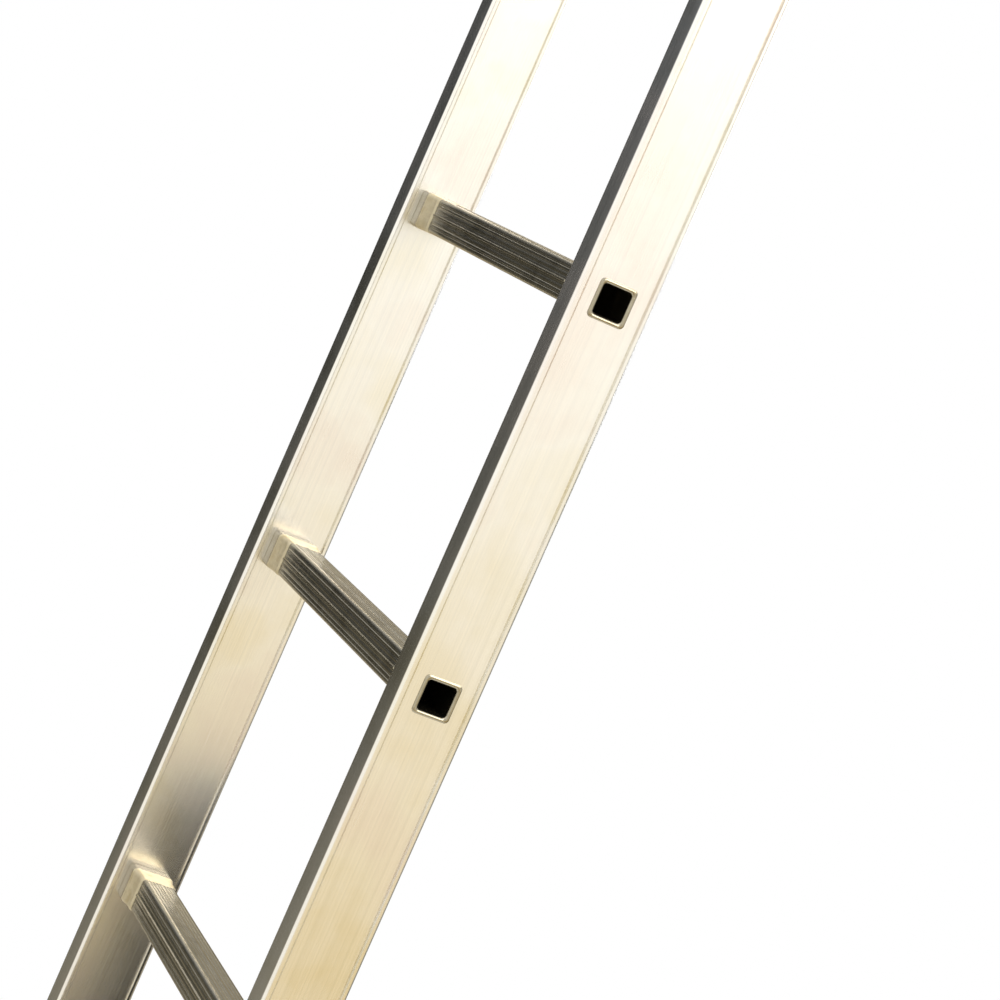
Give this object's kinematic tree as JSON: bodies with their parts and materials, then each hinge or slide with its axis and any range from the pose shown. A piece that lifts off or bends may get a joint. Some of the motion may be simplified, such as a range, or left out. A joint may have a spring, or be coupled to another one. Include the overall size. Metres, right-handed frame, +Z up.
{
  "type": "extension ladder",
  "caption": "Push-up extension ladder: a fly section slides on a base section in wrap-round guides and hooks over its rungs; box stiles, hollow square rungs, rubber feet.",
  "frame": {"origin": "on the floor, at the middle of the upright ladder's bounding box", "axes": "+X across the rungs to the climber's right, +Y through the ladder from the climber towards the wall, +Z up the stiles"},
  "size_m": [0.4368, 0.128, 3.25],
  "materials": {
    "stile": "mill-finish extrusion, lightly brushed along its length",
    "rung": "ribbed extrusion, darker from handling, satin",
    "foot_shoe": "moulded, fine grain",
    "foot_pad": "moulded with tread grooves, matt",
    "wall_cap": "moulded, matt",
    "end_cap": "moulded, fine grain",
    "guide": "pressed, satin",
    "guide_liner": "nylon, slightly waxy",
    "slide_pad": "nylon, slightly waxy",
    "rivet": "domed blind rivet, satin",
    "lock_bracket": "zinc-plated sheet steel",
    "lock_hook": "zinc-plated steel plate",
    "lock_pin": "turned steel, zinc-plated"
  },
  "bodies": {
    "base": {"base_stile_left": "stile", "base_stile_right": "stile", "base_rung_1": "rung", "base_rung_2": "rung", "base_rung_3": "rung", "base_rung_4": "rung", "base_rung_5": "rung", "base_rung_6": "rung", "base_rung_7": "rung", "foot_shoe_left": "foot_shoe", "foot_shoe_right": "foot_shoe", "foot_pad_left": "foot_pad", "foot_pad_right": "foot_pad", "base_top_cap_left": "end_cap", "base_top_cap_right": "end_cap", "top_guide_left": "guide", "top_guide_right": "guide", "top_guide_liner_left": "guide_liner", "top_guide_liner_right": "guide_liner", "top_slide_pad_left": "slide_pad", "top_slide_pad_right": "slide_pad", "extension_stop_left": "guide", "extension_stop_right": "guide", "foot_rivets": "rivet", "top_guide_rivets": "rivet", "stop_rivets": "rivet"},
    "fly": {"fly_stile_left": "stile", "fly_stile_right": "stile", "fly_rung_1": "rung", "fly_rung_2": "rung", "fly_rung_3": "rung", "fly_rung_4": "rung", "fly_rung_5": "rung", "fly_rung_6": "rung", "fly_rung_7": "rung", "wall_cap_left": "wall_cap", "wall_cap_right": "wall_cap", "fly_bottom_cap_left": "end_cap", "fly_bottom_cap_right": "end_cap", "bottom_guide_left": "guide", "bottom_guide_right": "guide", "bottom_guide_liner_left": "guide_liner", "bottom_guide_liner_right": "guide_liner", "bottom_slide_pad_left": "slide_pad", "bottom_slide_pad_right": "slide_pad", "lock_bracket_left": "lock_bracket", "lock_bracket_right": "lock_bracket", "lock_pin_left": "lock_pin", "lock_pin_right": "lock_pin", "lock_spacers_left": "lock_pin", "lock_spacers_right": "lock_pin", "bottom_guide_rivets": "rivet", "lock_rivets": "rivet"},
    "lock_left": {"lock_hook_left": "lock_hook"},
    "lock_right": {"lock_hook_right": "lock_hook"}
  },
  "joints": [
    {"name": "fly_slide", "type": "slide", "parent": "base", "child": "fly", "axis": [0, 0, 1], "range_m": [-1.132, 0.06]},
    {"name": "left_lock", "type": "hinge", "parent": "fly", "child": "lock_left", "pos_m": [-0.144, -0.0265, 1.452], "axis": [1, 0, 0], "range_deg": [-118, 0]},
    {"name": "right_lock", "type": "hinge", "parent": "fly", "child": "lock_right", "pos_m": [0.144, -0.0265, 1.452], "axis": [1, 0, 0], "range_deg": [-118, 0]}
  ]
}
